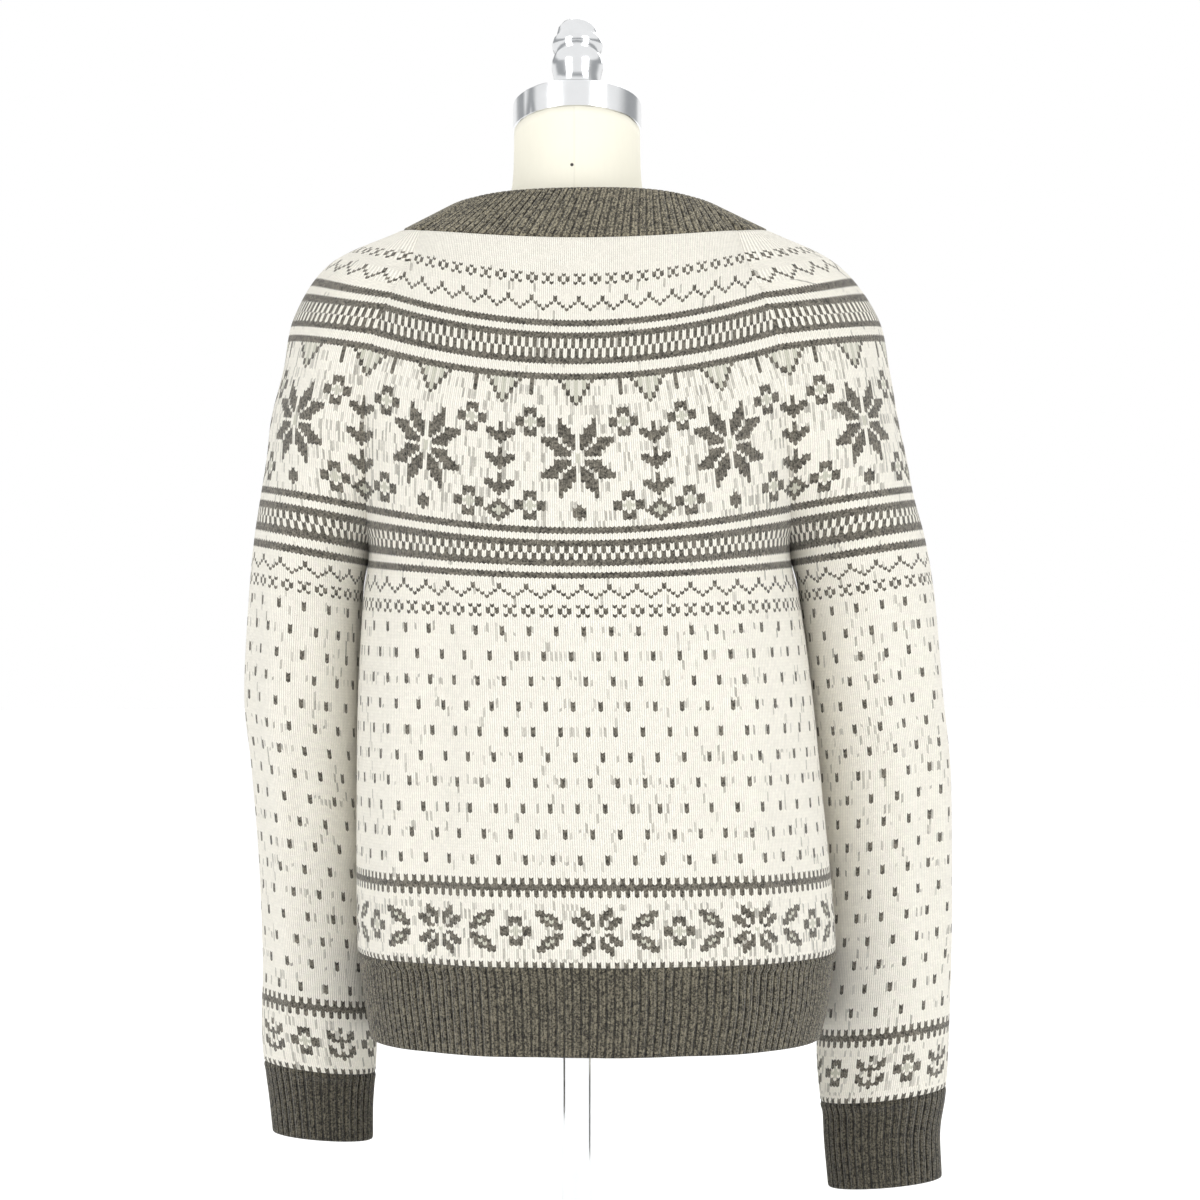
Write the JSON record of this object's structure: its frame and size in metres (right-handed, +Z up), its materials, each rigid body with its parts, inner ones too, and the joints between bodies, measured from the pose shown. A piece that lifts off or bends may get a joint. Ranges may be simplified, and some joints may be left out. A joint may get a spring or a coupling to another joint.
{
  "type": "sweater on dress form",
  "caption": "Patterned knitted pullover with raglan sleeves, ribbed neck, cuffs and hem, worn by a limbless dress form on a round stand.",
  "frame": {"origin": "centre of the stand base's underside", "axes": "+Z up along the pole, the garment's back faces -Y, its front faces +Y, and +X is to the right of a person who looks at the garment's back"},
  "size_m": [0.5661, 0.28, 1.0219],
  "materials": {
    "patterned_knit": "cream wool knit with charcoal and light grey colourwork bands, matt and slightly fuzzy",
    "charcoal_rib": "marled charcoal wool rib, matt",
    "ivory_cloth": "tight woven cotton cover, matt",
    "chrome": "polished chrome plate",
    "black_iron": "satin black coated iron"
  },
  "bodies": {
    "root": {"back_panel": "patterned_knit", "front_panel": "patterned_knit", "left_sleeve": "patterned_knit", "right_sleeve": "patterned_knit", "neckband": "charcoal_rib", "hem_rib": "charcoal_rib", "left_cuff": "charcoal_rib", "right_cuff": "charcoal_rib", "form_torso": "ivory_cloth", "neck_cap": "chrome", "finial": "chrome", "pole": "chrome", "base": "black_iron"}
  },
  "joints": []
}
